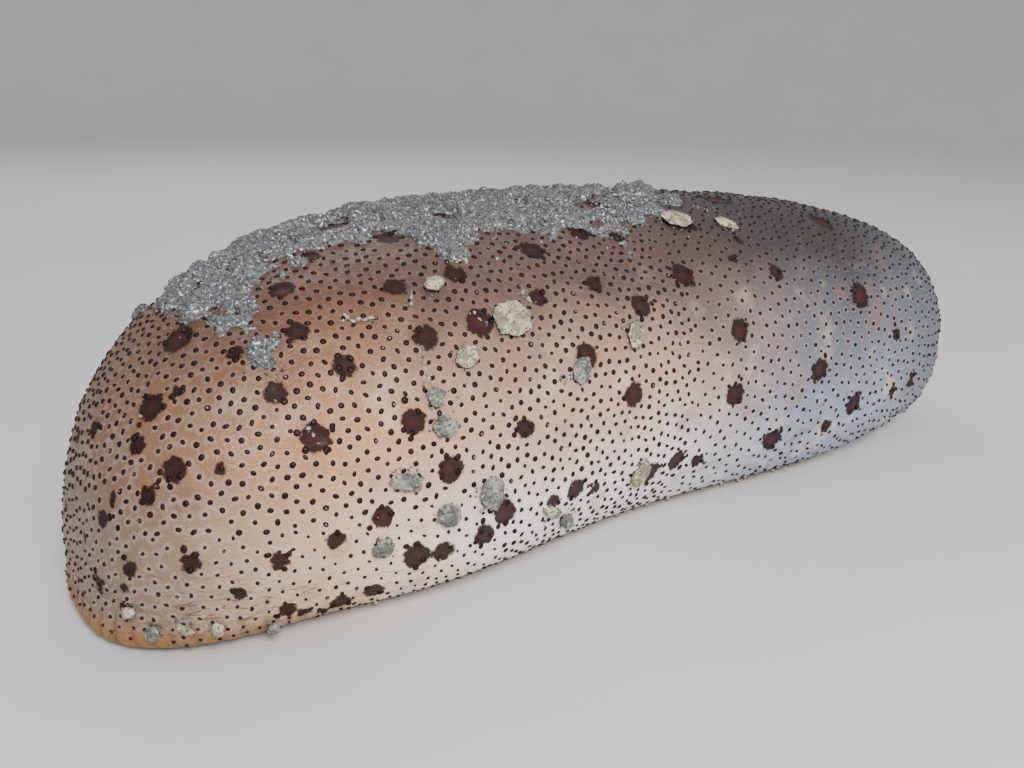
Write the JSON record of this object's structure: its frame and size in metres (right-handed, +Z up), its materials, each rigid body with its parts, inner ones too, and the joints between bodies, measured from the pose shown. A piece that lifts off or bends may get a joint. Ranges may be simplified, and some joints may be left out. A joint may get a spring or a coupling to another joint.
{
  "type": "sea cucumber",
  "caption": "Life-size still model of a stout spotted sea cucumber at rest on its flat sole, with the mouth under one end, the vent at the other and sand on its back.",
  "frame": {"origin": "centre of the model's footprint box, on the floor that the sole rests on", "axes": "+X towards the vent end, so the mouth end is at -X; +Y towards the flank that the picture doesn't show; +Z up"},
  "size_m": [0.3457, 0.1343, 0.101],
  "materials": {
    "skin_back": "moist skin, tan to reddish brown above and lilac white low on the rear flank, with dark dots and blotches",
    "skin_sole": "moist pale skin with small tube feet",
    "tentacle": "moist brown, lighter at the lobes",
    "sand": "grey sand grains stuck in slime",
    "shell": "worn chips of shell"
  },
  "bodies": {
    "root": {"oral_end": "skin_back", "fore_body": "skin_back", "mid_body": "skin_back", "hind_body": "skin_back", "anal_end": "skin_back", "oral_collar": "skin_sole", "sole_front": "skin_sole", "sole_middle": "skin_sole", "sole_rear": "skin_sole", "mouth_tentacles": "tentacle", "sand_crust_front": "sand", "sand_crust_middle": "sand", "sand_crust_rear": "sand", "shell_chip_01": "shell", "shell_chip_02": "shell", "shell_chip_03": "shell", "shell_chip_04": "shell", "shell_chip_05": "shell", "shell_chip_06": "shell", "shell_chip_07": "shell", "shell_chip_08": "shell", "shell_chip_09": "shell", "shell_chip_10": "shell", "shell_chip_11": "shell", "shell_chip_12": "shell", "shell_chip_13": "shell", "shell_chip_14": "shell", "shell_chip_15": "shell", "shell_chip_16": "shell", "shell_chip_17": "shell", "shell_chip_18": "shell", "shell_chip_19": "shell", "shell_chip_20": "shell", "shell_chip_21": "shell"}
  },
  "joints": []
}
